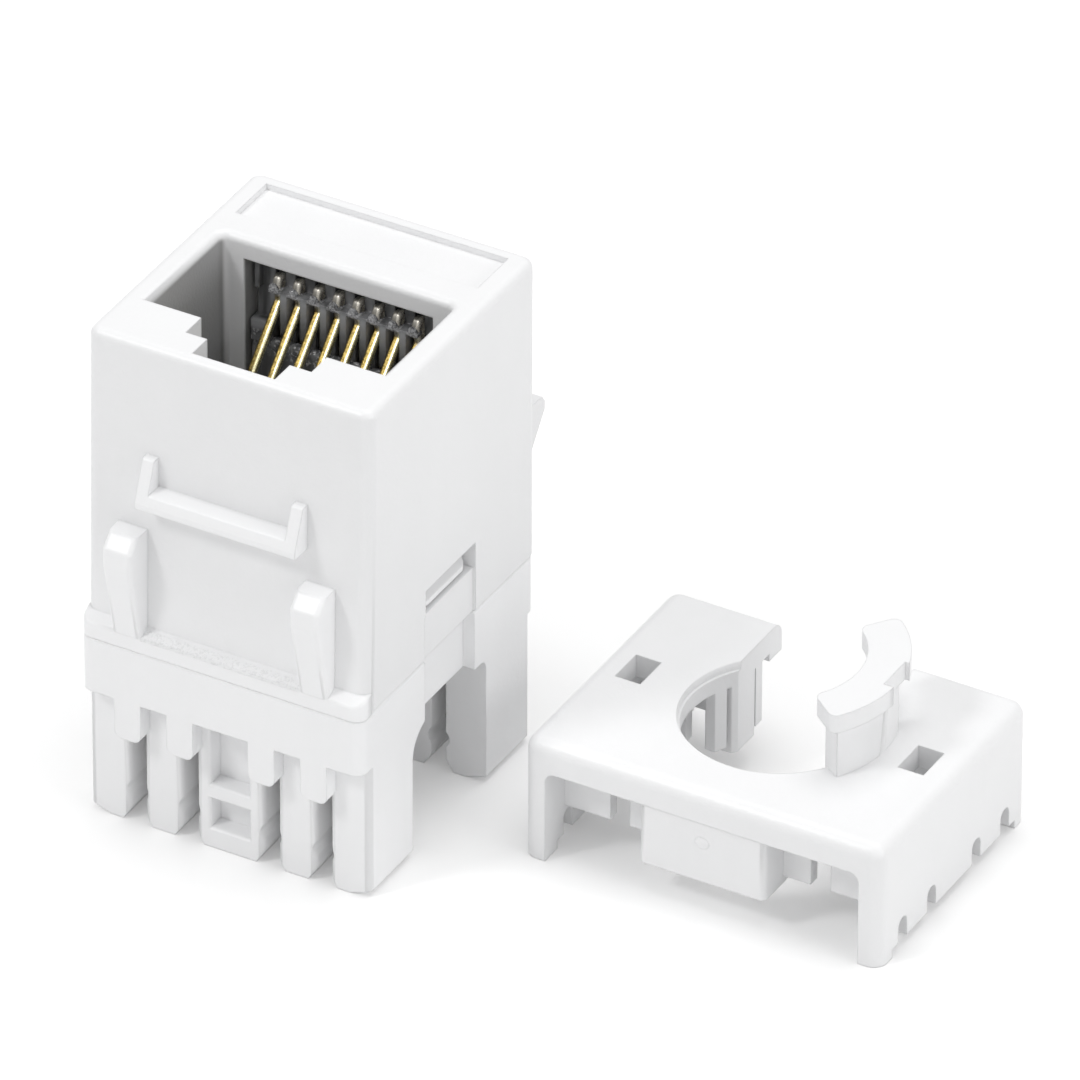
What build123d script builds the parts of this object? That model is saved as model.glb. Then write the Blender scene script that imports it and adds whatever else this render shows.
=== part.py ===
from build123d import *
import math
import os

# Keystone jack standing on its wire towers with the port facing up, and its wiring cap beside it.
# Everything is in millimetres. While it is modelled, the jack's own origin lies on the floor
# under the middle of its port: X along the rows of contacts, +Y towards the latch, +Z out of the port.

# How far tools reach past the face they cut, and how far joined pieces reach into each other
past = 1.0
overlap = 0.3

# Front housing
width = 14.5
front_y = -7.4
front_draft = 0.4
back_y = 7.4
parting_z = 9.9
top_z = 25.7
edge_radius = 0.6
top_radius = 0.45
parting_chamfer = 0.1
wall = 1.25

# Ledge at the foot of the front wall
ledge_depth = 0.6
ledge_height = 0.75
ledge_slope = 0.35
ledge_round = 0.2

# Port, latch notch of the plug in two steps, and the window behind the contacts
port_width = 11.9
port_front_y = -4.25
port_back_y = 2.25
port_floor_z = 13.0
notch_wide = 6.4
notch_wide_depth = 1.35
notch_narrow = 4.2
notch_narrow_depth = 1.3
window_width = 9.7
lip_height = 1.1
port_corner_radius = 0.4
port_rim_radius = 0.4
chamber_front_wall = 0.9

# Bare recess beside the port
recess_width = 12.4
recess_near_y = 3.85
recess_far_y = 6.6
recess_depth = 0.3

# Fixed catch, two stops and the panel between them
panel_gap = 1.65
stop_top_z = 16.15
catch_width = 8.2
catch_height = 2.3
catch_reach = 1.1
catch_lip = 0.35
catch_top_reach = 0.4
catch_upright = 0.6
catch_bar = 0.8
catch_round = 0.12
stop_inner_x = 4.05
stop_width = 1.5
stop_reach = 1.55
stop_nose_drop = 0.6
stop_nose_height = 1.0
stop_round = 0.25

# Spring latch on the back wall
latch_width = 11.8
latch_catch_width = 8.4
latch_thickness = 0.8
latch_offset = 1.15
latch_root_height = 0.85
latch_swing = 8.0
latch_tip_reach = 1.15
latch_catch_reach = 0.95
latch_top_z = 21.0
latch_lean = 0.35
latch_ramp = 2.3
latch_tip_height = 0.75
latch_tip_flat = 0.4
latch_tip_chamfer = 0.25
latch_catch_lip = 0.45
latch_top_taper = 0.05
hinge_clearance = 0.05

# Snap windows in the side walls and the arms that hold in them
snap_near_y = -2.6
snap_far_y = 1.85
snap_low_z = 12.25
snap_high_z = 13.65
snap_arm = 1.0
snap_clearance = 0.15
snap_hook = 1.1
snap_round = 0.6
snap_nose = 0.25
bridge_depth = 0.15
bridge_extra = 0.1

# Rear block with two towers of teeth
block_middle_y = -0.5
band_low_z = 7.0
band_back_y = 7.3
tooth_step = 0.8
back_tooth_step = 0.5
channel_width = 6.6
channel_top_z = 6.8
channel_front_radius = 1.6
channel_back_radius = 0.5
block_radius = 0.6
tower_radius = 0.3
side_recess_depth = 0.6
slot_width = 0.75
slot_inner_x = 2.1
slot_outer_x = 4.8
slot_top_z = 5.9
slot_flare = 0.3
bulb_radius = 0.55
bulb_z = 1.7
tooth_point = 0.65
tooth_point_width = 0.38
outer_point = 0.35
outer_point_width = 1.1
tongue_width = 1.37
tongue_low_z = 4.95
tongue_radius = 0.4
tooth_window_width = 2.0
tooth_window_depth = 0.9
tooth_window_chamfer = 0.12
crossbar_low_z = 2.6
crossbar_high_z = 3.4
tooth_window_low_z = 1.05
rail_height = 0.5
rail_width = 0.6
rail_inset = 0.6

# Insulation displacing terminals, one in each slot
terminal_width = 2.3
terminal_thickness = 0.4
terminal_from_middle = 5.1
terminal_low_z = 1.7
terminal_shoulder_z = 9.5
terminal_slit = 0.32
terminal_slit_top_z = 6.2
terminal_mouth = 0.9
terminal_mouth_depth = 0.7
terminal_corner = 0.3
terminal_end_gap = 0.4
pin_width = 0.6
pin_above_board = 0.35
pocket_clearance = 0.05

# Circuit board
board_thickness = 1.2
board_clearance = 0.1
hole_clearance = 0.05

# Contact carrier
carrier_clearance = 0.1
carrier_base = 0.9
carrier_foot = 0.5
carrier_foot_size = 0.8
carrier_top_gap = 0.35
comb_front_y = 2.8
comb_floor_y = 3.85
comb_rib_y = 2.15
comb_rib_rise = 0.6
comb_rib_drop = 0.5
comb_end_rib_drop = 0.65
comb_bar_rise = 0.15
comb_wall_y = 2.25
comb_wall_drop = 1.75
comb_wall_slope = 0.35

# Contact springs
contact_count = 8
contact_pitch = 1.02
contact_width = 0.4
contact_thickness = 0.34
contact_leg_y = 3.6
contact_clearance = 1.1
contact_knob_width = 0.8
contact_bend = 0.36
contact_arm_angle = 45.0
contact_arm_drop = 1.6
contact_tip_y = -1.5
contact_tail = 0.35

# Wiring cap
cap_length = 18.2
cap_depth = 13.8
cap_height = 6.4
cap_plate = 1.2
cap_beam = 1.6
cap_wall = 1.15
cap_leg = 1.15
cap_radius = 0.7
cap_opening_radius = 0.5
cap_gap = 4.15
cap_front_y = -1.2
cable_hole_radius = 4.4
cable_hole_step = 0.15
cable_hole_step_depth = 0.4
cable_hole_y = 0.2
cable_slot_width = 7.0
cap_block_clearance = 0.1
cap_block_setback = 0.1
cap_block_low_z = 1.6
cap_block_radius = 0.3
tie_hole_x = 7.2
tie_hole_y = 0.25
tie_hole_length = 1.3
tie_hole_depth = 1.95
guide_near_y = 2.6
guide_far_y = 4.4
guide_thickness = 0.8
stuffer_thickness = 0.6
stuffer_low_z = 2.0
stuffer_gap = 1.0
skirt_low_z = 0.45
skirt_notch_radius = 0.4
skirt_notch_height = 0.8
hook_height = 2.7
hook_wall = 1.05
hook_start_angle = -33.0
hook_end_angle = 17.0
flange_thickness = 0.95
flange_inner = 0.45
flange_outer = 1.5
flange_start_angle = -38.0
flange_end_angle = 54.0
flange_radius = 0.4
tie_neck = 0.5
tie_neck_near = 0.2
tie_neck_far = 1.8

# Places that follow from the sizes above
half_width = width / 2
port_half = port_width / 2
front_foot_y = front_y - front_draft
ledge_outer_y = front_foot_y - ledge_depth
ledge_top_z = parting_z + ledge_height
band_front_y = ledge_outer_y
catch_low_z = stop_top_z + panel_gap
stop_middle_x = stop_inner_x + stop_width / 2
latch_inner_y = back_y + latch_offset
latch_outer_y = latch_inner_y + latch_thickness
hinge_radius = latch_thickness / 2
hinge_y = latch_inner_y + hinge_radius
hinge_z = parting_z + latch_root_height
channel_front_y = block_middle_y - channel_width / 2
channel_back_y = block_middle_y + channel_width / 2
tooth_front_y = band_front_y + tooth_step
tooth_back_y = band_back_y - back_tooth_step
slots_x = [-slot_outer_x, -slot_inner_x, slot_inner_x, slot_outer_x]
terminal_rows_y = [block_middle_y - terminal_from_middle, block_middle_y + terminal_from_middle]
chamber_half = half_width - wall
chamber_front_y = front_y + chamber_front_wall
chamber_back_y = back_y - wall
cavity_top_z = top_z - lip_height
contact_knob_z = cavity_top_z - contact_clearance
contact_arm_top_z = contact_knob_z - contact_arm_drop
comb_rib_top_z = contact_arm_top_z + comb_rib_rise
comb_wall_top_z = contact_arm_top_z - comb_wall_drop
arm_outer_x = chamber_half - snap_clearance
arm_inner_x = arm_outer_x - snap_arm
arm_near_y = snap_near_y + snap_clearance
arm_far_y = snap_far_y - snap_clearance
hook_low_z = snap_low_z + snap_clearance
hook_high_z = snap_high_z - snap_clearance
notch_inner_x = arm_inner_x - snap_clearance
notch_near_y = arm_near_y - snap_clearance
notch_far_y = arm_far_y + snap_clearance
board_low_z = parting_z + rail_height
board_high_z = board_low_z + board_thickness
carrier_low_z = board_high_z + carrier_foot
carrier_high_z = carrier_low_z + carrier_base
contacts_x = [(n - (contact_count - 1) / 2) * contact_pitch for n in range(contact_count)]
cap_middle_x = half_width + cap_gap + cap_length / 2
cap_middle_y = cap_front_y + cap_depth / 2


def block(x0, x1, y0, y1, z0, z1):
    """A box given by its two faces along each axis."""
    middle = ((x0 + x1) / 2, (y0 + y1) / 2, (z0 + z1) / 2)
    return Pos(*middle) * Box(x1 - x0, y1 - y0, z1 - z0)


def side_profile(points, half):
    """A prism across the jack, its outline given as (y, z) points, from -half to +half in X."""
    outline = Plane.YZ * make_face(Polyline(*points, close=True))
    return extrude(outline, amount=half, both=True)


def front_profile(points, near_y, far_y):
    """A prism from near_y to far_y, its outline given as (x, z) points."""
    outline = Plane.XZ * make_face(Polyline(*points, close=True))
    return Pos(0, far_y, 0) * extrude(outline, amount=far_y - near_y)


def corner_edges(solid, x, y):
    """Upright edges of a solid that stand at |x| and y."""
    upright = solid.edges().filter_by(Axis.Z)
    return [e for e in upright if abs(abs(e.center().X) - x) < 0.01 and abs(e.center().Y - y) < 0.01]


def front_wall_y(z):
    """Outer face of the drafted front wall at height z."""
    return front_y - front_draft * (top_z - z) / (top_z - parting_z)


def make_shell():
    """Outer block of the front housing, its front wall drafted, with rounded edges."""
    outline = [(front_foot_y, parting_z), (front_y, top_z), (back_y, top_z), (back_y, parting_z)]
    shell = side_profile(outline, half_width)
    upright = [e for e in shell.edges() if abs((e % 0.5).Z) > 0.9]
    shell = fillet(upright, edge_radius)
    shell = fillet(shell.faces().sort_by(Axis.Z)[-1].outer_wire().edges(), top_radius)
    return chamfer(shell.faces().sort_by(Axis.Z)[0].outer_wire().edges(), parting_chamfer)


def make_ledge():
    """Flared foot of the front wall, which lines up with the band of the rear block."""
    high_z = ledge_top_z + ledge_slope
    points = [(front_y, parting_z), (ledge_outer_y, parting_z), (ledge_outer_y, ledge_top_z)]
    points += [(front_wall_y(high_z), high_z), (front_y, high_z)]
    ledge = side_profile(points, half_width)
    ledge = fillet(corner_edges(ledge, half_width, ledge_outer_y), block_radius)
    rim = [e for e in ledge.edges() if e.center().Y < front_foot_y and abs(e.center().Z - ledge_top_z) < 0.01]
    return fillet(rim, ledge_round)


def make_fixed_catch():
    """U-shaped catch: a wedge under the panel's front, hollowed between its two uprights."""
    high_z = catch_low_z + catch_height
    bar_z = catch_low_z + catch_bar
    low_y = front_wall_y(catch_low_z) - catch_reach
    high_y = front_wall_y(high_z) - catch_top_reach
    points = [(front_y, catch_low_z), (low_y, catch_low_z), (low_y, catch_low_z + catch_lip)]
    points += [(high_y, high_z), (front_y, high_z)]
    wedge = side_profile(points, catch_width / 2)
    outer = [e for e in wedge.edges().filter_by(Axis.X) if e.center().Y < high_y + 0.01]
    wedge = fillet(outer, catch_round)
    inner = catch_width / 2 - catch_upright
    catch = wedge - block(-inner, inner, low_y - past, front_y, bar_z, high_z + past)
    rim = [e for e in catch.edges().filter_by(Axis.X) if abs(e.center().Z - bar_z) < 0.01]
    return fillet(ShapeList(rim).sort_by(Axis.Y)[0], catch_round)


def make_stops():
    """Two fingers whose flat tops meet the panel's rear face."""
    nose_z = stop_top_z - stop_nose_drop
    nose_y = front_wall_y(nose_z) - stop_reach
    points = [(front_y, ledge_top_z), (ledge_outer_y, ledge_top_z), (nose_y, nose_z - stop_nose_height)]
    points += [(nose_y, nose_z), (nose_y + stop_nose_drop, stop_top_z), (front_y, stop_top_z)]
    finger = side_profile(points, stop_width / 2)
    outer = [e for e in finger.edges() if e.center().Y < front_wall_y(nose_z) and e.center().Z > ledge_top_z + 1]
    outer = [e for e in outer if e.center().Z < stop_top_z - 0.01 or abs(e.center().X) < 0.01]
    finger = fillet(outer, stop_round)
    return [Pos(-stop_middle_x, 0, 0) * finger, Pos(stop_middle_x, 0, 0) * finger]


def make_latch_root():
    """Ledge on the back wall with the groove that the latch turns in."""
    half = latch_width / 2
    ledge = block(-half, half, back_y - overlap, latch_outer_y, parting_z, hinge_z)
    groove = Cylinder(hinge_radius + hinge_clearance, latch_width + 2 * past, rotation=(0, 90, 0))
    return ledge - Pos(0, hinge_y, hinge_z) * groove


def make_port():
    """Space of the plug with the two steps of its latch notch, its back corners rounded."""
    step_y = port_front_y - notch_wide_depth
    deep_y = step_y - notch_narrow_depth
    right = [(port_half, port_back_y), (port_half, port_front_y), (notch_wide / 2, port_front_y)]
    right += [(notch_wide / 2, step_y), (notch_narrow / 2, step_y), (notch_narrow / 2, deep_y)]
    left = [(-x, y) for x, y in reversed(right)]
    outline = make_face(Polyline(*right, *left, close=True))
    space = Pos(0, 0, port_floor_z) * extrude(outline, amount=top_z + past - port_floor_z)
    return fillet(corner_edges(space, port_half, port_back_y), port_corner_radius)


def make_front_housing():
    shell = make_shell() - make_port()
    rim = shell.faces().sort_by(Axis.Z)[-1].inner_wires()[0].edges()
    shell = fillet([e for e in rim if e.center().Y > port_front_y + 0.01], port_rim_radius)
    shell = shell + make_ledge() + make_fixed_catch() + make_stops() + make_latch_root()
    shell -= block(-chamber_half, chamber_half, chamber_front_y, chamber_back_y, parting_z - past, port_floor_z)
    half = window_width / 2
    shell -= block(-half, half, port_back_y - overlap, chamber_back_y, port_floor_z - past, cavity_top_z)
    half = recess_width / 2
    shell -= block(-half, half, recess_near_y, recess_far_y, top_z - recess_depth, top_z + past)
    for side in (-1, 1):
        outer = side * (half_width + past)
        inner = side * (chamber_half - overlap)
        ends = sorted((outer, inner))
        shell -= block(*ends, snap_near_y, snap_far_y, snap_low_z, snap_high_z)
        ends = sorted((outer, side * (half_width - bridge_depth)))
        shell -= block(*ends, snap_near_y - bridge_extra, snap_far_y, parting_z - past, snap_low_z)
    return shell


def make_latch():
    """Spring lever with its rear stop and its ramped catch, drawn as one side profile."""
    tip_y = latch_outer_y + latch_tip_reach
    catch_y = latch_outer_y + latch_catch_reach
    leaning_y = latch_inner_y + latch_lean
    tip_low_z = stop_top_z - latch_tip_height
    strip = [(latch_inner_y, hinge_z), (latch_outer_y, hinge_z), (latch_outer_y, stop_top_z - latch_ramp)]
    strip += [(tip_y, tip_low_z), (tip_y, tip_low_z + latch_tip_flat), (tip_y - latch_tip_chamfer, stop_top_z)]
    strip += [(latch_outer_y, stop_top_z), (leaning_y, stop_top_z)]
    lever = side_profile(strip, latch_width / 2)
    upper = [(leaning_y, stop_top_z), (latch_outer_y, stop_top_z), (latch_outer_y, catch_low_z)]
    upper += [(catch_y, catch_low_z), (catch_y, catch_low_z + latch_catch_lip)]
    upper += [(latch_outer_y - latch_top_taper, latch_top_z), (leaning_y + latch_top_taper, latch_top_z)]
    lever += side_profile(upper, latch_catch_width / 2)
    bead = Cylinder(hinge_radius, latch_width, rotation=(0, 90, 0))
    return lever + Pos(0, hinge_y, hinge_z) * bead


def make_block_body():
    """Band and towers in one piece, before the slots are cut."""
    band = block(-half_width, half_width, band_front_y, band_back_y, band_low_z, parting_z)
    towers = block(-half_width, half_width, tooth_front_y, tooth_back_y, 0, band_low_z)
    band = fillet(band.edges().filter_by(Axis.Z), block_radius)
    towers = fillet(towers.edges().filter_by(Axis.Z), tower_radius)
    body = band + towers
    body = chamfer(body.faces().sort_by(Axis.Z)[-1].outer_wire().edges(), parting_chamfer)
    front_corner = (channel_front_y + channel_front_radius, channel_top_z - channel_front_radius)
    back_corner = (channel_back_y - channel_back_radius, channel_top_z - channel_back_radius)
    reach = half_width + past
    arch = block(-reach, reach, channel_front_y, channel_back_y, -past, back_corner[1])
    arch -= block(-2 * reach, 2 * reach, channel_front_y - past, *front_corner, channel_top_z)
    arch += block(-reach, reach, front_corner[0], back_corner[0], -past, channel_top_z)
    arch += Pos(0, *front_corner) * Cylinder(channel_front_radius, 2 * reach, rotation=(0, 90, 0))
    arch += Pos(0, *back_corner) * Cylinder(channel_back_radius, 2 * reach, rotation=(0, 90, 0))
    return body - arch


def make_slot_flare(x, face_y):
    """Rounding of a slot's two upright edges on the outer face of a tower."""
    half = slot_width / 2
    inner_y = face_y + slot_flare if face_y < block_middle_y else face_y - slot_flare
    depth = sorted((2 * face_y - inner_y, inner_y))
    flare = block(x - half - slot_flare, x + half + slot_flare, *depth, -past, slot_top_z)
    post = Cylinder(slot_flare, slot_top_z + 4 * past)
    for side in (-1, 1):
        flare -= Pos(x + side * (half + slot_flare), inner_y, slot_top_z / 2) * post
    return flare


def make_slot(x):
    """Wire slot through both towers: straight, with a round widening and a pointed mouth."""
    half = slot_width / 2
    mouth = half + tooth_point_width
    points = [(x - half, slot_top_z), (x - half, tooth_point), (x - mouth, 0), (x - mouth, -past)]
    points += [(x + mouth, -past), (x + mouth, 0), (x + half, tooth_point), (x + half, slot_top_z)]
    cut = front_profile(points, band_front_y - past, band_back_y + past)
    length = band_back_y - band_front_y + 2 * past
    bulb = Pos(x, (band_front_y + band_back_y) / 2, bulb_z) * Cylinder(bulb_radius, length, rotation=(90, 0, 0))
    return cut + bulb + make_slot_flare(x, tooth_front_y) + make_slot_flare(x, tooth_back_y)


def make_tongue(x):
    """Round-ended tongue that hangs from the band over a slot."""
    half = tongue_width / 2
    tongue = block(x - half, x + half, band_front_y, tooth_front_y + slot_flare, tongue_low_z, band_low_z + overlap)
    low = [e for e in tongue.edges().filter_by(Axis.Y) if e.center().Z < tongue_low_z + 0.01]
    return fillet(low, tongue_radius)


def make_rear_block():
    body = make_block_body()
    for x in slots_x:
        body -= make_slot(x)
    for x in slots_x:
        body += make_tongue(x)
    for side in (-1, 1):
        corner = side * half_width
        inside = side * (half_width - outer_point_width)
        outside = side * (half_width + past)
        points = [(corner, outer_point), (inside, 0), (inside, -past), (outside, -past), (outside, outer_point)]
        body -= front_profile(points, band_front_y - past, band_back_y + past)
        ends = sorted((outside, side * (half_width - side_recess_depth)))
        body -= block(*ends, snap_near_y - bridge_extra, snap_far_y - bridge_extra, channel_top_z - past,
                      parting_z + past)
        ends = sorted((side * arm_inner_x, side * arm_outer_x))
        body += block(*ends, arm_near_y, arm_far_y, parting_z, hook_high_z)
        body += make_snap_hook(side)
    for near_y, far_y in ((tooth_front_y - past, tooth_front_y + tooth_window_depth),
                          (tooth_back_y - tooth_window_depth, tooth_back_y + past)):
        half = tooth_window_width / 2
        body -= block(-half, half, near_y, far_y, crossbar_high_z, band_low_z)
        body -= block(-half, half, near_y, far_y, tooth_window_low_z, crossbar_low_z)
    for face_y in (tooth_front_y, tooth_back_y):
        rim = [e for e in body.edges().filter_by(GeomType.LINE)
               if abs(e.center().Y - face_y) < 0.01 and abs((e % 0.5).Y) < 0.01
               and abs(e.center().X) < tooth_window_width / 2 + 0.01
               and tooth_window_low_z - 0.01 < e.center().Z < band_low_z - 0.01]
        body = chamfer(rim, tooth_window_chamfer)
    half = terminal_width / 2 + pocket_clearance
    thick = terminal_thickness / 2 + pocket_clearance
    for y in terminal_rows_y:
        for x in slots_x:
            body -= block(x - half, x + half, y - thick, y + thick, terminal_low_z - terminal_end_gap,
                          parting_z + past)
    for y in (channel_front_y + rail_inset, channel_back_y - rail_inset):
        body += block(-notch_inner_x, notch_inner_x, y - rail_width / 2, y + rail_width / 2, parting_z, board_low_z)
    return body


def make_snap_hook(side):
    """Wedge nose of a snap arm, rounded at both ends where it shows in the window."""
    root = side * (arm_outer_x - overlap)
    tip = side * (arm_outer_x + snap_hook)
    points = [(root, hook_low_z), (tip, hook_low_z), (tip, hook_low_z + snap_nose), (root, hook_high_z)]
    nose = front_profile(points, arm_near_y, arm_far_y)
    upright = [e for e in nose.edges().filter_by(Axis.Z) if abs(e.center().X - tip) < 0.01]
    return fillet(upright, snap_round)


def make_terminal(x, y):
    """Forked blade whose slit takes the wire, with a pin that goes through the board."""
    half = terminal_width / 2
    slit = terminal_slit / 2
    mouth = terminal_mouth / 2
    pin = pin_width / 2
    pin_top_z = board_high_z + pin_above_board
    corner_z = terminal_low_z + terminal_corner
    slit_z = terminal_low_z + terminal_mouth_depth
    points = [(-half, corner_z), (-mouth, terminal_low_z), (-slit, slit_z), (-slit, terminal_slit_top_z)]
    points += [(slit, terminal_slit_top_z), (slit, slit_z), (mouth, terminal_low_z), (half, corner_z)]
    points += [(half, terminal_shoulder_z)]
    points += [(pin, terminal_shoulder_z), (pin, pin_top_z), (-pin, pin_top_z), (-pin, terminal_shoulder_z)]
    points += [(-half, terminal_shoulder_z)]
    thick = terminal_thickness / 2
    blade = front_profile(points, -thick, thick)
    return Pos(x, y, 0) * blade


def make_board():
    """Board on the rails of the rear block, notched for the snap arms and drilled for every tail."""
    gap = board_clearance
    board = block(-chamber_half + gap, chamber_half - gap, chamber_front_y + gap, chamber_back_y - gap,
                  board_low_z, board_high_z)
    for side in (-1, 1):
        ends = sorted((side * notch_inner_x, side * half_width))
        board -= block(*ends, notch_near_y, notch_far_y, board_low_z - past, board_high_z + past)
    half = pin_width / 2 + hole_clearance
    thick = terminal_thickness / 2 + hole_clearance
    for y in terminal_rows_y:
        for x in slots_x:
            board -= block(x - half, x + half, y - thick, y + thick, board_low_z - past, board_high_z + past)
    half = contact_width / 2 + hole_clearance
    thick = contact_thickness / 2 + hole_clearance
    for x in contacts_x:
        board -= block(x - half, x + half, contact_leg_y - thick, contact_leg_y + thick,
                       board_low_z - past, board_high_z + past)
    return board


def make_comb_tooth(rib_top_z, spine_top_z, tooth_width):
    """Tooth between two contact springs, with the rib that stands out in front of it."""
    rib_low_z = rib_top_z - comb_rib_rise - comb_rib_drop
    foot_z = comb_wall_top_z - overlap
    outline = [(comb_floor_y, foot_z), (comb_front_y, foot_z), (comb_front_y, rib_low_z)]
    outline += [(comb_rib_y, rib_low_z), (comb_rib_y, rib_top_z), (comb_front_y, rib_top_z)]
    outline += [(comb_front_y, spine_top_z), (comb_floor_y, spine_top_z)]
    return side_profile(outline, tooth_width / 2)


def make_carrier():
    """Base, upright spine and the comb that keeps the contact springs apart."""
    gap = carrier_clearance
    base_half = port_half - gap
    base = block(-base_half, base_half, port_front_y + gap, chamber_back_y - gap, carrier_low_z, carrier_high_z)
    for side in (-1, 1):
        ends = sorted((side * notch_inner_x, side * half_width))
        base -= block(*ends, notch_near_y, notch_far_y, carrier_low_z - past, carrier_high_z + past)
        for y in (port_front_y + gap, chamber_back_y - gap - carrier_foot_size):
            ends = sorted((side * base_half, side * (base_half - carrier_foot_size)))
            base += block(*ends, y, y + carrier_foot_size, board_high_z, carrier_low_z)
    spine_half = window_width / 2 - gap
    spine_top_z = cavity_top_z - carrier_top_gap
    carrier = base + block(-spine_half, spine_half, comb_floor_y, chamber_back_y - gap, carrier_high_z, spine_top_z)
    groove = contact_width + 2 * pocket_clearance
    thick = contact_thickness / 2 + pocket_clearance
    tooth = make_comb_tooth(comb_rib_top_z, spine_top_z, contact_pitch - groove)
    inner = [Pos((a + b) / 2, 0, 0) * tooth for a, b in zip(contacts_x, contacts_x[1:])]
    end_width = spine_half - contacts_x[-1] - groove / 2
    end_tooth = make_comb_tooth(contact_arm_top_z - comb_end_rib_drop, spine_top_z, end_width)
    end_x = spine_half - end_width / 2
    wall_outline = [(comb_floor_y, carrier_high_z), (comb_wall_y, carrier_high_z)]
    wall_outline += [(comb_wall_y, comb_wall_top_z - comb_wall_slope), (comb_wall_y + comb_wall_slope, comb_wall_top_z)]
    comb_wall = side_profile(wall_outline + [(comb_floor_y, comb_wall_top_z)], spine_half)
    bar_back_y = contact_leg_y - contact_knob_width - thick
    bar_half = contacts_x[-1] + groove / 2
    bar = block(-bar_half, bar_half, comb_rib_y, bar_back_y, contact_arm_top_z + comb_bar_rise, comb_rib_top_z)
    carrier = carrier + inner + [Pos(-end_x, 0, 0) * end_tooth, Pos(end_x, 0, 0) * end_tooth, bar, comb_wall]
    for x in contacts_x:
        carrier -= block(x - groove / 2, x + groove / 2, contact_leg_y - thick, contact_leg_y + thick,
                         carrier_low_z - past, comb_wall_top_z + past)
    return carrier


def make_contact(x):
    """Spring wire: tail through the board, up its groove, over the knob and down the sloping arm."""
    front_leg_y = contact_leg_y - contact_knob_width
    drop = (front_leg_y - contact_tip_y) * math.tan(math.radians(contact_arm_angle))
    corners = [(contact_leg_y, board_low_z - contact_tail), (contact_leg_y, contact_knob_z)]
    corners += [(front_leg_y, contact_knob_z), (front_leg_y, contact_arm_top_z)]
    corners += [(contact_tip_y, contact_arm_top_z - drop)]
    path = Plane.YZ * FilletPolyline(*corners, radius=contact_bend)
    start = Plane(origin=path @ 0, x_dir=(1, 0, 0), z_dir=path % 0)
    section = start * Rectangle(contact_width, contact_thickness)
    return Pos(x, 0, 0) * sweep(section, path=path)


def ring_sector(inner, outer, start, end, low_z, high_z):
    """Part of a ring about the cable hole, between two angles in degrees."""
    ring = Cylinder(outer, high_z - low_z) - Cylinder(inner, high_z - low_z)
    reach = 3 * outer
    steps = [start + (end - start) * n / 4 for n in range(5)]
    fan = [(0, 0)] + [(reach * math.cos(math.radians(a)), reach * math.sin(math.radians(a))) for a in steps]
    wedge = extrude(make_face(Polyline(*fan, close=True)), amount=high_z - low_z, both=True)
    return Pos(0, cable_hole_y, (low_z + high_z) / 2) * (ring & wedge)


def make_cap_shell():
    """Plate, side skirts, corner legs and beams, with the front and back open between them."""
    half_x = cap_length / 2
    half_y = cap_depth / 2
    shell = block(-half_x, half_x, -half_y, half_y, 0, cap_height)
    shell = fillet(shell.edges().filter_by(Axis.Z), cap_radius)
    shell = fillet(shell.faces().sort_by(Axis.Z)[-1].outer_wire().edges(), cap_radius)
    inner_x = half_x - cap_wall
    inner_y = half_y - cap_wall
    plate_low_z = cap_height - cap_plate
    shell -= block(-inner_x, inner_x, -inner_y, inner_y, -past, plate_low_z)
    opening_x = half_x - cap_leg
    opening_z = cap_height - cap_beam
    opening = block(-opening_x, opening_x, -half_y - past, half_y + past, -2 * past, opening_z)
    high = [e for e in opening.edges().filter_by(Axis.Y) if e.center().Z > 0]
    shell -= fillet(high, cap_opening_radius)
    skirt_y = half_y - cap_leg
    reach = half_x + past
    shell -= block(-reach, reach, -skirt_y, skirt_y, -past, skirt_low_z)
    arch_z = skirt_low_z + skirt_notch_height
    for y in slots_x:
        notch = block(-reach, reach, y - skirt_notch_radius, y + skirt_notch_radius, -past, arch_z)
        notch += Pos(0, y, arch_z) * Cylinder(skirt_notch_radius, 2 * reach, rotation=(0, 90, 0))
        shell -= notch
    return shell


def make_cap_inside():
    """Centre block behind the front, guide walls of the cable slot, and the forked wire stuffers."""
    plate_low_z = cap_height - cap_plate
    block_half = channel_width / 2 - cap_block_clearance
    front = -cap_depth / 2 + cap_block_setback
    root_z = plate_low_z + overlap
    middle = block(-block_half, block_half, front, cable_hole_y, cap_block_low_z, root_z)
    pieces = [fillet(corner_edges(middle, block_half, front), cap_block_radius)]
    half = stuffer_thickness / 2
    gap_low = terminal_from_middle - stuffer_gap / 2
    gap_high = terminal_from_middle + stuffer_gap / 2
    wall_x = cap_length / 2 - cap_wall / 2
    guide_x = cable_slot_width / 2
    for side in (-1, 1):
        for y in slots_x:
            inner = sorted((side * (block_half - overlap), side * gap_low))
            outer = sorted((side * gap_high, side * wall_x))
            pieces.append(block(*inner, y - half, y + half, stuffer_low_z, root_z))
            pieces.append(block(*outer, y - half, y + half, stuffer_low_z, root_z))
        guide = sorted((side * guide_x, side * (guide_x + guide_thickness)))
        pieces.append(block(*guide, guide_near_y, guide_far_y, cap_block_low_z, root_z))
    return pieces


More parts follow.
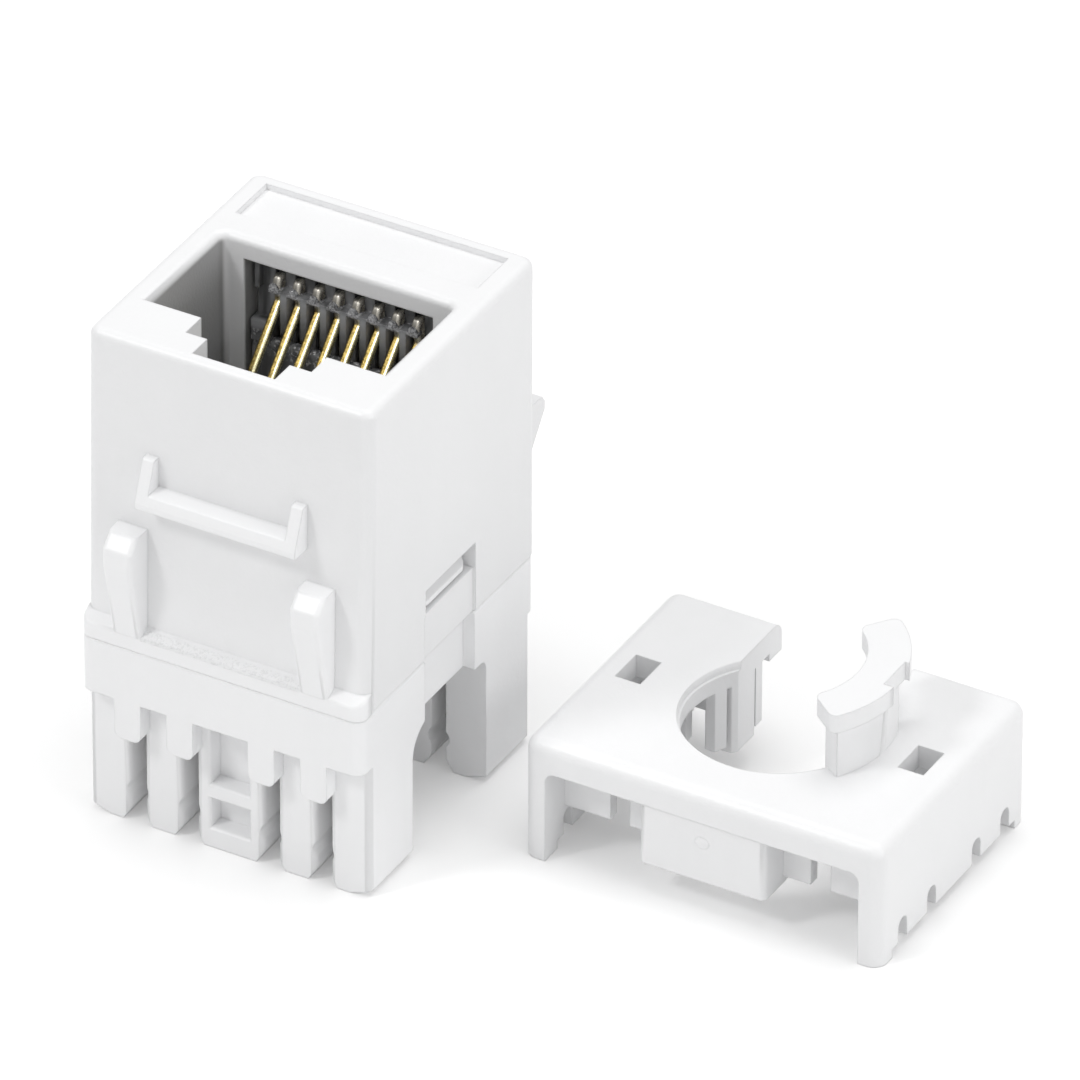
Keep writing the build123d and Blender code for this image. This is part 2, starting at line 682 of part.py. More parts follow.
def make_strain_relief():
    """Curved column on the rim of the cable hole, with a crescent flange and a neck for a tie."""
    rim = cable_hole_radius
    foot_z = cap_height - cap_plate
    flange_low_z = cap_height + hook_height
    flange_high_z = flange_low_z + flange_thickness
    column = ring_sector(rim, rim + hook_wall, hook_start_angle, hook_end_angle, foot_z, flange_low_z)
    flange = ring_sector(rim - flange_inner, rim + flange_outer, flange_start_angle, flange_end_angle,
                         flange_low_z, flange_high_z)
    flange = fillet(flange.edges().filter_by(Axis.Z), flange_radius)
    neck_x = rim + flange_outer - tie_neck
    neck = block(neck_x, neck_x + flange_outer, cable_hole_y - tie_neck_near, cable_hole_y + tie_neck_far,
                 flange_low_z - past, flange_high_z + past)
    return [column, flange - neck]


def make_cap():
    half_y = cap_depth / 2
    cap = make_cap_shell() + make_cap_inside()
    cap -= Pos(0, cable_hole_y, 0) * Cylinder(cable_hole_radius, 4 * cap_height)
    step = Cylinder(cable_hole_radius + cable_hole_step, 2 * cable_hole_step_depth)
    cap -= Pos(0, cable_hole_y, cap_height) * step
    half = cable_slot_width / 2
    cap -= block(-half, half, cable_hole_y, half_y + past, -past, cap_height + past)
    for side in (-1, 1):
        x = side * tie_hole_x
        cap -= block(x - tie_hole_length / 2, x + tie_hole_length / 2, tie_hole_y - tie_hole_depth / 2,
                     tie_hole_y + tie_hole_depth / 2, cap_height - cap_plate - past, cap_height + past)
    cap += make_strain_relief()
    return Pos(cap_middle_x, cap_middle_y, 0) * cap


def make_all():
    pieces = {"front_housing": make_front_housing(), "panel_latch": make_latch()}
    pieces["rear_block"] = make_rear_block()
    pieces["contact_carrier"] = make_carrier()
    pieces["circuit_board"] = make_board()
    for n, x in enumerate(contacts_x, start=1):
        pieces[f"contact_{n}"] = make_contact(x)
    places = [(x, y) for y in terminal_rows_y for x in slots_x]
    for n, (x, y) in enumerate(places, start=1):
        pieces[f"terminal_{n}"] = make_terminal(x, y)
    pieces["wiring_cap"] = make_cap()
    return pieces


def place_on_floor(pieces):
    """Move everything so that the origin is the middle of the whole set's footprint."""
    box = Compound(children=[solid for piece in pieces.values() for solid in piece.solids()]).bounding_box()
    shift = Pos(-(box.min.X + box.max.X) / 2, -(box.min.Y + box.max.Y) / 2, -box.min.Z)
    return {name: shift * piece for name, piece in pieces.items()}, shift


os.makedirs("parts", exist_ok=True)
placed, shift = place_on_floor(make_all())
for name, piece in placed.items():
    export_step(piece, f"parts/{name}.step")
print("jack origin moved by", [round(v, 4) for v in shift.position])
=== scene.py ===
import math

import bmesh
import bpy
from bpy.props import FloatProperty, FloatVectorProperty, PointerProperty
from mathutils import Matrix, Vector


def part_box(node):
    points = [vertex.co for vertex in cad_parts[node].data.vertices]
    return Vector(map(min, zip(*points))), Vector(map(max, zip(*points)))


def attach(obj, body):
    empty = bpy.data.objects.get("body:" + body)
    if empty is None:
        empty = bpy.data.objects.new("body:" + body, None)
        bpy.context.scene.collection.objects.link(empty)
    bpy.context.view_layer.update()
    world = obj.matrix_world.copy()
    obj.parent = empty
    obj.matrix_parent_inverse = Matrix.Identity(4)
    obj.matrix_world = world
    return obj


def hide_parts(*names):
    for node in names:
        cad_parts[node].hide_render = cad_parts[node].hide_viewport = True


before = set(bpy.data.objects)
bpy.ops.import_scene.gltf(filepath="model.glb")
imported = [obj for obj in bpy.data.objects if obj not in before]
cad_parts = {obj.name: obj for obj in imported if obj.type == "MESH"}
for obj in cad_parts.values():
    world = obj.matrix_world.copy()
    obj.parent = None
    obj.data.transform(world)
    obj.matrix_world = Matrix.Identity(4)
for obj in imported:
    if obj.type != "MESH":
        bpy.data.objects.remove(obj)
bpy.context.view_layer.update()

bl_info = {
    "name": "Keystone jack finish",
    "version": (1, 0, 0),
    "blender": (4, 5, 0),
    "location": "3D View > Sidebar > Jack",
    "description": "Dresses the packed keystone jack and its wiring cap, and sets a plain studio around them",
    "category": "Object",
}

MM = 0.001
X, Y, Z = range(3)
CONTACTS = [f"contact_{n}" for n in range(1, 9)]
TERMINALS = [f"terminal_{n}" for n in range(1, 9)]


def node_span(node):
    """Lowest and highest corner of a CAD node, as vectors in metres."""
    low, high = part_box(node)
    return Vector(low), Vector(high)


HOUSING_LOW, HOUSING_HIGH = node_span("front_housing")
CAP_LOW, CAP_HIGH = node_span("wiring_cap")
CONTACT_HIGH = node_span("contact_1")[1]
JACK_X = (HOUSING_LOW.x + HOUSING_HIGH.x) / 2
CAP_X = (CAP_LOW.x + CAP_HIGH.x) / 2

# Places on the housing that no node's box gives, measured from its lowest or highest corner
PORT_HALF = 5.95 * MM
PORT_FRONT = HOUSING_HIGH.y - 13.5 * MM
PORT_BACK = HOUSING_HIGH.y - 7.1 * MM
FRONT_WALL = HOUSING_HIGH.y - 16.9 * MM
LEDGE_HALF = 4.0 * MM
LEDGE_SLOPE_FOOT = HOUSING_LOW.z + 0.65 * MM

# Places on the contacts and their carrier, measured from the back and the top of the bends
PITCH = 1.02 * MM
BEND_TOP = CONTACT_HIGH.z
BEND_FRONT = CONTACT_HIGH.y - 1.14 * MM
KNEE = BEND_TOP - 1.77 * MM
RIB_FRONT = BEND_FRONT + 0.02 * MM
COMB_WALL_FRONT = BEND_FRONT + 0.12 * MM
COMB_WALL_TOP = BEND_TOP - 3.52 * MM

# Middle of the gate's mark on the cap
GATE_Y = CAP_LOW.y + 0.1 * MM
GATE_Z = 3.7 * MM

# Faces within SAME_PLANE of each other are one flat, and those within SHALLOW are parts of one curve
SAME_PLANE = math.radians(0.5)
SHALLOW = math.radians(30)
MERGE_GAP = 0.0001 * MM
WIDE_FACE = 0.3 * MM
WIRE_CORNER = math.radians(50)

# Mean of a noise texture
NOISE_MIDDLE = 0.5

# Floor and lamps of the studio: where each lamp stands and how wide it is, in metres
FLOOR_HALF = 3.0
FLOOR_DROP = 0.02 * MM
LAMP_TARGET = (0.0, 0.0, 10 * MM)
LAMPS = {
    "key": ((-0.16, -0.22, 0.30), 0.08),
    "top": ((0.02, 0.05, 0.36), 0.30),
    "side": ((0.34, -0.02, 0.16), 0.20),
}
CAMERA_REACH = 20.0


class Value:
    """A shader socket that holds a number, so that shader maths reads as plain expressions."""

    def __init__(self, shader, socket):
        self.shader = shader
        self.socket = socket

    def _math(self, operation, *others):
        return self.shader.node("ShaderNodeMath", {"operation": operation}, self, *others)

    def __add__(self, other):
        return self._math("ADD", other)

    def __radd__(self, other):
        return self._math("ADD", other)

    def __sub__(self, other):
        return self._math("SUBTRACT", other)

    def __rsub__(self, other):
        return self.shader.node("ShaderNodeMath", {"operation": "SUBTRACT"}, other, self)

    def __mul__(self, other):
        return self._math("MULTIPLY", other)

    def __rmul__(self, other):
        return self._math("MULTIPLY", other)

    def __truediv__(self, other):
        return self._math("DIVIDE", other)

    def fraction(self):
        return self._math("FRACT")

    def absolute(self):
        return self._math("ABSOLUTE")

    def sine(self):
        return self._math("SINE")

    def clamp(self):
        return self.shader.node("ShaderNodeClamp", {}, self, 0.0, 1.0)

    def smooth_step(self, low, high):
        """0 below low and 1 above high, with a soft change between."""
        settings = {"interpolation_type": "SMOOTHSTEP", "data_type": "FLOAT"}
        return self.shader.node("ShaderNodeMapRange", settings, self, low, high, 0.0, 1.0)

    def above(self, edge, feather):
        """1 past an edge and 0 below it, with a soft change as wide as the feather just past the edge."""
        return self.smooth_step(edge, edge + feather)

    def below(self, edge, feather):
        """1 below an edge and 0 past it, with a soft change as wide as the feather just past the edge."""
        return 1 - self.above(edge, feather)

    def within(self, middle, half, feather):
        """1 up to half away from a middle and 0 beyond, with a soft change as wide as the feather."""
        return (self - middle).absolute().below(half, feather)


class Shader:
    """One procedural material, built node by node."""

    def __init__(self, name):
        self.material = bpy.data.materials.new(name)
        self.material.use_nodes = True
        self.tree = self.material.node_tree
        self.tree.nodes.clear()
        self.output = self.tree.nodes.new("ShaderNodeOutputMaterial")
        self.place = self.node("ShaderNodeTexCoord", {}, output="Object")

    def node(self, kind, settings, *values, output=0, **named):
        """Adds a node: its settings first, then its inputs by order or by name."""
        made = self.tree.nodes.new(kind)
        for key, value in settings.items():
            setattr(made, key, value)
        for index, value in enumerate(values):
            self._feed(made.inputs[index], value)
        for key, value in named.items():
            self._feed(made.inputs[key.replace("_", " ")], value)
        return Value(self, made.outputs[output])

    def _feed(self, socket, value):
        if isinstance(value, Value):
            self.tree.links.new(value.socket, socket)
        else:
            socket.default_value = value

    def noise(self, size, detail=2.0, roughness=0.5, stretch=(1, 1, 1)):
        """Noise whose grains are about size metres across, stretched along the axes."""
        scaled = self.node("ShaderNodeMapping", {}, self.place, Scale=stretch)
        return self.node("ShaderNodeTexNoise", {}, output="Fac", Vector=scaled, Scale=1 / size,
                         Detail=detail, Roughness=roughness)

    def axis(self, index):
        """One coordinate of the surface point, in metres."""
        return self.node("ShaderNodeSeparateXYZ", {}, self.place, output=index)

    def mix(self, mask, first, second):
        """Colour between first and second as mask goes from 0 to 1."""
        made = self.tree.nodes.new("ShaderNodeMix")
        made.data_type = "RGBA"
        sockets = {socket.identifier: socket for socket in (*made.inputs, *made.outputs)}
        self._feed(sockets["Factor_Float"], mask)
        self._feed(sockets["A_Color"], first)
        self._feed(sockets["B_Color"], second)
        return Value(self, sockets["Result_Color"])

    def bump(self, height, depth, edge_radius):
        """Normal with a relief of the given depth, turned softly over edges that have the given radius."""
        rounded = self.node("ShaderNodeBevel", {"samples": 6}, output="Normal", Radius=edge_radius)
        return self.node("ShaderNodeBump", {}, output="Normal", Distance=depth, Height=height, Normal=rounded)

    def close(self, surface):
        """Ends the material in a shader."""
        self.tree.links.new(surface.socket, self.output.inputs["Surface"])
        return self.material

    def finish(self, **sockets):
        """Closes the material with one principled shader."""
        return self.close(self.node("ShaderNodeBsdfPrincipled", {}, **sockets))


def rgba(colour):
    """A colour with full alpha, as a socket takes it."""
    return (*colour[:3], 1.0)


def shade(colour, factor):
    """A colour made darker or lighter by a factor."""
    return (*[min(c * factor, 1.0) for c in colour[:3]], 1.0)


def grey(level):
    """An even grey."""
    return (level, level, level, 1.0)


def port_shadow(s, look):
    """1 deep in the port, where hardly any light comes back, and 0 on every outer face."""
    wall_skin, wall_feather = 0.05 * MM, 0.25 * MM
    front_feather = 0.4 * MM
    behind_port, behind_feather = 1.0 * MM, 0.3 * MM
    back_skin, back_feather = 0.03 * MM, 0.17 * MM
    lit_rim, rim_feather = 0.5 * MM, 0.3 * MM
    shade_start = 0.6 * MM
    rim_share = 0.8
    across = s.axis(X).within(JACK_X, PORT_HALF + wall_skin, wall_feather)
    ahead = s.axis(Y).above(PORT_FRONT, front_feather)
    behind = s.axis(Y).below(PORT_BACK + behind_port, behind_feather)
    back_wall = s.axis(Y).within(PORT_BACK, back_skin, back_feather)
    below_rim = s.axis(Z).below(HOUSING_HIGH.z - lit_rim, rim_feather)
    deep = s.axis(Z).below(HOUSING_HIGH.z - look.port_depth, look.port_depth - shade_start)
    strength = rim_share + (1 - rim_share) * deep
    return across * ahead * behind * below_rim * strength * (1 - back_wall)


def ledge_slope(s):
    """1 on the sloping ledge between the two stops, whose eroded grain is coarse, and 0 elsewhere."""
    side_feather = 0.1 * MM
    wall_gap, wall_feather = 0.45 * MM, 0.15 * MM
    foot_feather = 0.08 * MM
    slope_height, top_feather = 0.55 * MM, 0.1 * MM
    across = s.axis(X).within(JACK_X, LEDGE_HALF, side_feather)
    ahead = s.axis(Y).below(FRONT_WALL - wall_gap, wall_feather)
    low = s.axis(Z).above(LEDGE_SLOPE_FOOT, foot_feather)
    high = s.axis(Z).below(LEDGE_SLOPE_FOOT + slope_height, top_feather)
    return across * ahead * low * high


def housing_accents(s, look, white, colour, height):
    """Paints a highlight on what stands proud of the housing's front, paints shade deep in the port and roughens
    the ledge.
    """
    proud_gap, proud_feather = 0.3 * MM, 0.2 * MM
    grit_edges, grit_tone, grit_relief = (0.5, 0.62), 0.98, 5.0
    # Painted highlight: what stands proud of the front wall, such as the catch and the stops, gets a lighter
    # colour.
    proud_highlight = s.axis(Y).below(FRONT_WALL - proud_gap, proud_feather)
    colour = s.mix(proud_highlight, colour, shade(white, look.proud_lit_tone))
    colour = s.mix(port_shadow(s, look), colour, shade(look.colour, look.port_tone))
    ledge = ledge_slope(s)
    grit = s.noise(look.grit_size, roughness=0.7)
    colour = s.mix(ledge * grit.smooth_step(*grit_edges), colour, shade(look.colour, grit_tone))
    return colour, height + ledge * grit * grit_relief


def moulded_plastic(name, look, tone=1.0, accents=None):
    """White moulded plastic: fine spark-eroded grain, faint flow marks and a soft gloss."""
    flow_stretch = (1.0, 1.0, 0.25)
    cloud_size = 2.5 * look.flow_size
    flow_share, mark_edges, mark_tone = 0.6, (0.3, 0.7), 0.985
    grain_gloss, flow_gloss = 0.10, 0.05
    s = Shader(name)
    # A tone above 1 paints extra light over the whole part.
    white = shade(look.colour, tone)
    fine = s.noise(look.grain_size, detail=3.0)
    flow = s.noise(look.flow_size, stretch=flow_stretch)
    cloud = s.noise(cloud_size, detail=1.0)
    marks = (flow * flow_share + cloud * (1 - flow_share)).smooth_step(*mark_edges)
    colour = s.mix(marks, shade(white, mark_tone), white)
    height = fine
    if accents:
        colour, height = accents(s, look, white, colour, height)
    roughness = look.gloss + grain_gloss * (fine - NOISE_MIDDLE) + flow_gloss * (flow - NOISE_MIDDLE)
    normal = s.bump(height, look.grain_depth, look.edge_radius)
    return s.finish(Base_Color=colour, Roughness=roughness, Normal=normal, IOR=1.53)


def across_wire(s):
    """Place across the nearest contact wire, in steps of the pitch: 0 in its middle and 0.2 at its right edge."""
    steps_left, half_step = 8.0, 0.5
    return ((s.axis(X) - JACK_X) / PITCH + steps_left).fraction() - half_step


def height_band(s, middle, half):
    """1 within half of a height and 0 away from it."""
    return s.axis(Z).within(middle, half, 0.4 * half)


def comb_painted_glints(s):
    """Painted glints: bright spots painted on the comb's wall lumps and on the beads at the bends, where their
    gloss catches the light.
    """
    wall_half, wall_strength = 0.5 * MM, 0.7
    wall_glint_size, wall_edges = 0.22 * MM, (0.52, 0.64)
    bead_drop, bead_half, bead_strength = 0.55 * MM, 0.33 * MM, 0.8
    bead_reach, bead_feather = 0.3, 0.06
    bead_glint_size, bead_edges = 0.12 * MM, (0.38, 0.66)
    row_half, row_feather = 4.2 * MM, 0.1 * MM
    front_depth, front_feather = 0.5 * MM, 0.1 * MM
    on_wall = height_band(s, COMB_WALL_TOP, wall_half)
    wall_glint = s.noise(wall_glint_size).smooth_step(*wall_edges) * on_wall
    on_bead = height_band(s, BEND_TOP - bead_drop, bead_half)
    on_bead = on_bead * across_wire(s).absolute().below(bead_reach, bead_feather)
    on_bead = on_bead * s.axis(X).within(JACK_X, row_half, row_feather)
    bead_glint = s.noise(bead_glint_size, detail=3.0, roughness=0.7).smooth_step(*bead_edges) * on_bead
    front = s.axis(Y).below(BEND_FRONT + front_depth, front_feather)
    return front * (wall_glint * wall_strength + bead_glint * bead_strength).clamp()


def smoky_plastic(name, look):
    """Dark, nearly clear carrier plastic, with painted glints on its rounded lumps and beads and a painted lighter
    tone on the rib fronts.
    """
    grain_size, streak_size, streak_stretch = 0.25 * MM, 0.6 * MM, (1.0, 1.0, 0.2)
    streak_edges, dark_streak, pale_streak, rib_lit_tone = (0.35, 0.7), 0.6, 1.6, 2.2
    rib_depth, rib_feather, rib_half = 0.05 * MM, 0.35 * MM, 0.9 * MM
    glint_relief, relief_depth, edge_radius = 3.0, 0.012 * MM, 0.08 * MM
    gloss, grain_gloss = 0.16, 0.12
    s = Shader(name)
    fine = s.noise(grain_size, detail=3.0)
    streak = s.noise(streak_size, stretch=streak_stretch)
    smoke = look.carrier
    streaks = streak.smooth_step(*streak_edges)
    tone = s.mix(streaks, shade(smoke, dark_streak), shade(smoke, pale_streak))
    # Painted light: the rib fronts, which stand forward in the port, get a lighter tone of the smoke.
    lit_ribs = s.axis(Y).below(RIB_FRONT + rib_depth, rib_feather) * height_band(s, KNEE, rib_half)
    tone = s.mix(lit_ribs, tone, shade(smoke, rib_lit_tone))
    # Painted glints: a bright colour painted on the lumps and beads, which also get a little relief there.
    painted_glint = comb_painted_glints(s)
    tone = s.mix(painted_glint, tone, rgba(look.painted_glint))
    normal = s.bump(fine + streak + painted_glint * glint_relief, relief_depth, edge_radius)
    roughness = gloss + grain_gloss * fine
    return s.finish(Base_Color=tone, Roughness=roughness, Normal=normal, IOR=1.58, Coat_Weight=0.4)


def contact_plating(name, look):
    """Gold on the sloping arm, tin on the bend and the hidden leg, with a ragged border between; each wire's left
    flank is speckled painted shade and its right flank a painted highlight.
    """
    draw_size, draw_stretch = 0.06 * MM, (6.0, 1.0, 1.0)
    ragged_size, ragged_reach = 0.25 * MM, 0.5 * MM
    border_half = 0.15 * MM
    leg_depth, leg_feather = 0.6 * MM, 0.2 * MM
    right_feather = 0.09
    speck_size, speck_edges = 0.1 * MM, (0.4, 0.6)
    dark_shaded_speck, pale_shaded_speck, tin_shaded_flank = 0.22, 0.55, 0.45
    dull_tin = 0.45
    gloss, draw_gloss, right_gloss = 0.34, 0.12, 0.12
    relief_depth, edge_radius = 0.004 * MM, 0.03 * MM
    s = Shader(name)
    draw = s.noise(draw_size, stretch=draw_stretch)
    ragged = s.noise(ragged_size)
    height = s.axis(Z) + (ragged - NOISE_MIDDLE) * ragged_reach
    border = BEND_TOP - look.tin_length
    bend = height.smooth_step(border - border_half, border + border_half)
    leg = s.axis(Y).above(CONTACT_HIGH.y - leg_depth, leg_feather)
    tin = (bend + leg).clamp()
    # Painted highlight and shade: the right flank of each wire gets a pale gold and the full tin, the left flank a
    # speckled darker gold and a darker tin.
    right = across_wire(s).above(0.0, right_feather)
    speck = s.noise(speck_size, detail=3.0, roughness=0.7).smooth_step(*speck_edges)
    speckled_shade = s.mix(speck, shade(look.gold, dark_shaded_speck), shade(look.gold, pale_shaded_speck))
    gilt = s.mix(right, speckled_shade, rgba(look.highlight_gold))
    tinned = s.mix(right, shade(look.tin, tin_shaded_flank), rgba(look.tin))
    colour = s.mix(tin, gilt, tinned)
    roughness = gloss + draw_gloss * draw - right_gloss * right
    normal = s.bump(draw, relief_depth, edge_radius)
    return s.finish(Base_Color=colour, Metallic=1 - dull_tin * tin, Roughness=roughness, Normal=normal)


def tinned_blade(name, colour):
    """Stamped terminal: dull tin with shear lines along its edges."""
    shear_size, shear_stretch = 0.08 * MM, (1.0, 1.0, 0.1)
    patch_size, patch_edges, dark_patch = 0.5 * MM, (0.4, 0.7), 0.85
    gloss, shear_gloss = 0.28, 0.2
    relief_depth, edge_radius = 0.006 * MM, 0.04 * MM
    s = Shader(name)
    shear = s.noise(shear_size, stretch=shear_stretch)
    patch = s.noise(patch_size, detail=3.0)
    tone = s.mix(patch.smooth_step(*patch_edges), shade(colour, dark_patch), rgba(colour))
    roughness = gloss + shear_gloss * shear
    normal = s.bump(shear, relief_depth, edge_radius)
    return s.finish(Base_Color=tone, Metallic=1.0, Roughness=roughness, Normal=normal)


def board_laminate(name, colour):
    """Solder mask over glass cloth, with a faint weave."""
    cloth_pitch, grain_size = 0.5 * MM, 0.4 * MM
    even, weave_share, grain_share = 0.5, 0.3, 0.3
    dark_mask, pale_mask = 0.8, 1.2
    gloss, grain_gloss = 0.35, 0.1
    relief_depth, edge_radius = 0.004 * MM, 0.04 * MM
    turns_per_metre = 2 * math.pi / cloth_pitch
    s = Shader(name)
    warp = (s.axis(X) * turns_per_metre).sine()
    weft = (s.axis(Y) * turns_per_metre).sine()
    weave = warp * weft
    grain = s.noise(grain_size)
    mottle = (even + weave_share * weave + grain_share * (grain - NOISE_MIDDLE)).clamp()
    tone = s.mix(mottle, shade(colour, dark_mask), shade(colour, pale_mask))
    roughness = gloss + grain_gloss * grain
    normal = s.bump(weave, relief_depth, edge_radius)
    return s.finish(Base_Color=tone, Roughness=roughness, Normal=normal)


def set_material(thing, material):
    """Makes a material the only one of an object."""
    thing.data.materials.clear()
    thing.data.materials.append(material)


def mesh_object(name, bm):
    """A new object at the origin with the mesh of bm, which is freed."""
    mesh = bpy.data.meshes.new(name)
    bm.to_mesh(mesh)
    bm.free()
    thing = bpy.data.objects.new(name, mesh)
    bpy.context.collection.objects.link(thing)
    return thing


def merged_mesh(node):
    """A copy of a node's mesh, its loose triangles joined into whole flat faces."""
    bm = bmesh.new()
    bm.from_mesh(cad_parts[node].data)
    bmesh.ops.remove_doubles(bm, verts=bm.verts, dist=MERGE_GAP)
    bmesh.ops.dissolve_limit(bm, angle_limit=SAME_PLANE, verts=bm.verts, edges=bm.edges)
    return bm


def soften_facets(thing):
    """Smooth shading across shallow edges, sharp across the rest."""
    thing.data.shade_smooth()
    thing.data.set_sharp_from_angle(angle=SHALLOW)


def smooth_copy(node, name, body, material, shape=None):
    """A merged copy of a node, with smooth curves and its shape refined, which stands for the node."""
    bm = merged_mesh(node)
    if shape:
        shape(bm)
    thing = mesh_object(name, bm)
    set_material(thing, material)
    soften_facets(thing)
    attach(thing, body)
    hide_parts(node)
    return thing


def flat_faces(mesh):
    """Numbers of the wide faces that meet no other wide face at a shallow angle, as a curve's facets do."""
    bm = bmesh.new()
    bm.from_mesh(mesh)
    wide = {face.index for face in bm.faces if 2 * face.calc_area() / face.calc_perimeter() > WIDE_FACE}
    curved = set()
    for edge in bm.edges:
        if len(edge.link_faces) == 2 and SAME_PLANE < edge.calc_face_angle() < SHALLOW:
            pair = {face.index for face in edge.link_faces}
            if pair <= wide:
                curved |= pair
    bm.free()
    return wide - curved


def keep_flats(thing):
    """Leaves the shading of flat faces flat where they meet a rounding, and lets the rounding start from it."""
    mesh = thing.data
    flats = flat_faces(mesh)
    beside = {}
    for face in mesh.polygons:
        if face.index in flats:
            for vert in face.vertices:
                beside.setdefault(vert, []).append(face.normal.copy())
    normals = [corner.vector.copy() for corner in mesh.corner_normals]
    for face in mesh.polygons:
        for corner, vert in zip(face.loop_indices, face.vertices):
            if face.index in flats:
                normals[corner] = face.normal.copy()
                continue
            near = [n for n in beside.get(vert, []) if n.angle(face.normal, math.pi) < SHALLOW]
            if near:
                normals[corner] = min(near, key=lambda n: n.angle(face.normal, math.pi))
    mesh.normals_split_custom_set(normals)


def add_lump(bm, place, radii):
    """A smooth rounded lump."""
    matrix = Matrix.Translation(place) @ Matrix.Diagonal((*radii, 1.0))
    bmesh.ops.create_uvsphere(bm, u_segments=16, v_segments=10, radius=1.0, matrix=matrix)


def add_bar(bm, low, high, bevel):
    """An upright bar between two corners, with soft edges."""
    low, high = Vector(low), Vector(high)
    matrix = Matrix.Translation((low + high) / 2) @ Matrix.Diagonal((*(high - low), 1.0))
    made = bmesh.ops.create_cube(bm, size=1.0, matrix=matrix)
    edges = list({edge for vert in made["verts"] for edge in vert.link_edges})
    bmesh.ops.bevel(bm, geom=edges, offset=bevel, offset_type="OFFSET", affect="EDGES", segments=2,
                    profile=0.5, material=-1)


def cap_gate_mark(bm):
    """The flat, round mark that the mould's gate leaves on the front of the cap's middle block."""
    radii = (0.36 * MM, 0.07 * MM, 0.3 * MM)
    add_lump(bm, (CAP_X, GATE_Y, GATE_Z), radii)


def set_back_comb(bm):
    """Sets the comb's wall and ribs back, tapers the ribs and draws them down, and lifts the bar over the knees."""
    set_back = 0.5 * MM
    shoulder = BEND_FRONT + 0.37 * MM
    foot = KNEE - 8.5 * MM
    rib_root = BEND_FRONT + 0.17 * MM
    rib_foot = KNEE - 0.5 * MM
    rib_taper = 0.58 / MM
    rib_row, rib_reach = 3.5 * PITCH, 0.1 * MM
    bar_low, bar_high = KNEE + 0.15 * MM, KNEE + 0.6 * MM
    lifts = {bar_low: 0.9 * MM, bar_high: 0.6 * MM, rib_foot: -0.5 * MM}
    same_height = 0.02 * MM
    bmesh.ops.bisect_plane(bm, geom=[*bm.verts, *bm.edges, *bm.faces], dist=0.001 * MM,
                           plane_co=(0.0, rib_root, 0.0), plane_no=(0.0, 1.0, 0.0))
    for vert in bm.verts:
        if vert.co.y >= shoulder or vert.co.z <= foot:
            continue
        if abs(vert.co.x - JACK_X) < rib_row and vert.co.z > rib_foot - rib_reach:
            rib = JACK_X + round((vert.co.x - JACK_X) / PITCH) * PITCH
            vert.co.x = rib + (vert.co.x - rib) * (1 - rib_taper * (rib_root - vert.co.y))
        vert.co.y += set_back
        for height, lift in lifts.items():
            if abs(vert.co.z - height) < same_height:
                vert.co.z += lift
                break


def add_comb_lumps(bm):
    """A bead at each bend and a lump on the wall below it, and a lump and a post at each end of the row."""
    bead_x, bead_y, bead_z = -0.08 * MM, BEND_FRONT + 0.2 * MM, BEND_TOP - 0.6 * MM
    bead_radii = (0.25 * MM, 0.2 * MM, 0.27 * MM)
    lump_y, lump_z = COMB_WALL_FRONT + 0.2 * MM, COMB_WALL_TOP - 0.1 * MM
    lump_radii = (0.4 * MM, 0.3 * MM, 0.34 * MM)
    end_radii = (0.17 * MM, 0.3 * MM, 0.34 * MM)
    post_x, post_half, post_bevel = 4.58 * MM, 0.13 * MM, 0.04 * MM
    post_front, post_back = BEND_FRONT + 0.3 * MM, BEND_FRONT + 0.8 * MM
    post_low, post_high = BEND_TOP - 0.9 * MM, BEND_TOP + 0.5 * MM
    for n in range(len(CONTACTS)):
        x = JACK_X + (n - (len(CONTACTS) - 1) / 2) * PITCH
        add_lump(bm, (x + bead_x, bead_y, bead_z), bead_radii)
        add_lump(bm, (x, lump_y, lump_z), lump_radii)
    for side in (-1, 1):
        x = JACK_X + side * post_x
        add_lump(bm, (x, lump_y, lump_z), end_radii)
        add_bar(bm, (x - post_half, post_front, post_low), (x + post_half, post_back, post_high), post_bevel)


def shape_comb(bm):
    """The comb as the port shows it, with its lumps and beads."""
    set_back_comb(bm)
    add_comb_lumps(bm)


def shape_spring(bm):
    """Carries the arm on up to a knee just in front of the back leg, and draws the top bend in over it."""
    knee_half, knee_front, knee_back = 0.4 * MM, BEND_FRONT - 0.15 * MM, BEND_FRONT + 0.4 * MM
    knee_move = Vector((0.0, 0.42 * MM, 0.42 * MM))
    bend_low, leg_front = BEND_TOP - 0.6 * MM, BEND_FRONT + 0.57 * MM
    bend_share = 0.6
    for vert in bm.verts:
        if knee_front < vert.co.y < knee_back and abs(vert.co.z - KNEE) < knee_half:
            vert.co += knee_move
        elif vert.co.z > bend_low and vert.co.y < leg_front:
            vert.co.y = leg_front + (vert.co.y - leg_front) * bend_share


def round_long_edges(thing, width):
    """Rounds the edges of a drawn wire."""
    edges = thing.modifiers.new("round wire", "BEVEL")
    edges.width = width
    edges.segments = 3
    edges.limit_method = "ANGLE"
    edges.angle_limit = WIRE_CORNER
    edges.harden_normals = True
    edges.use_clamp_overlap = False


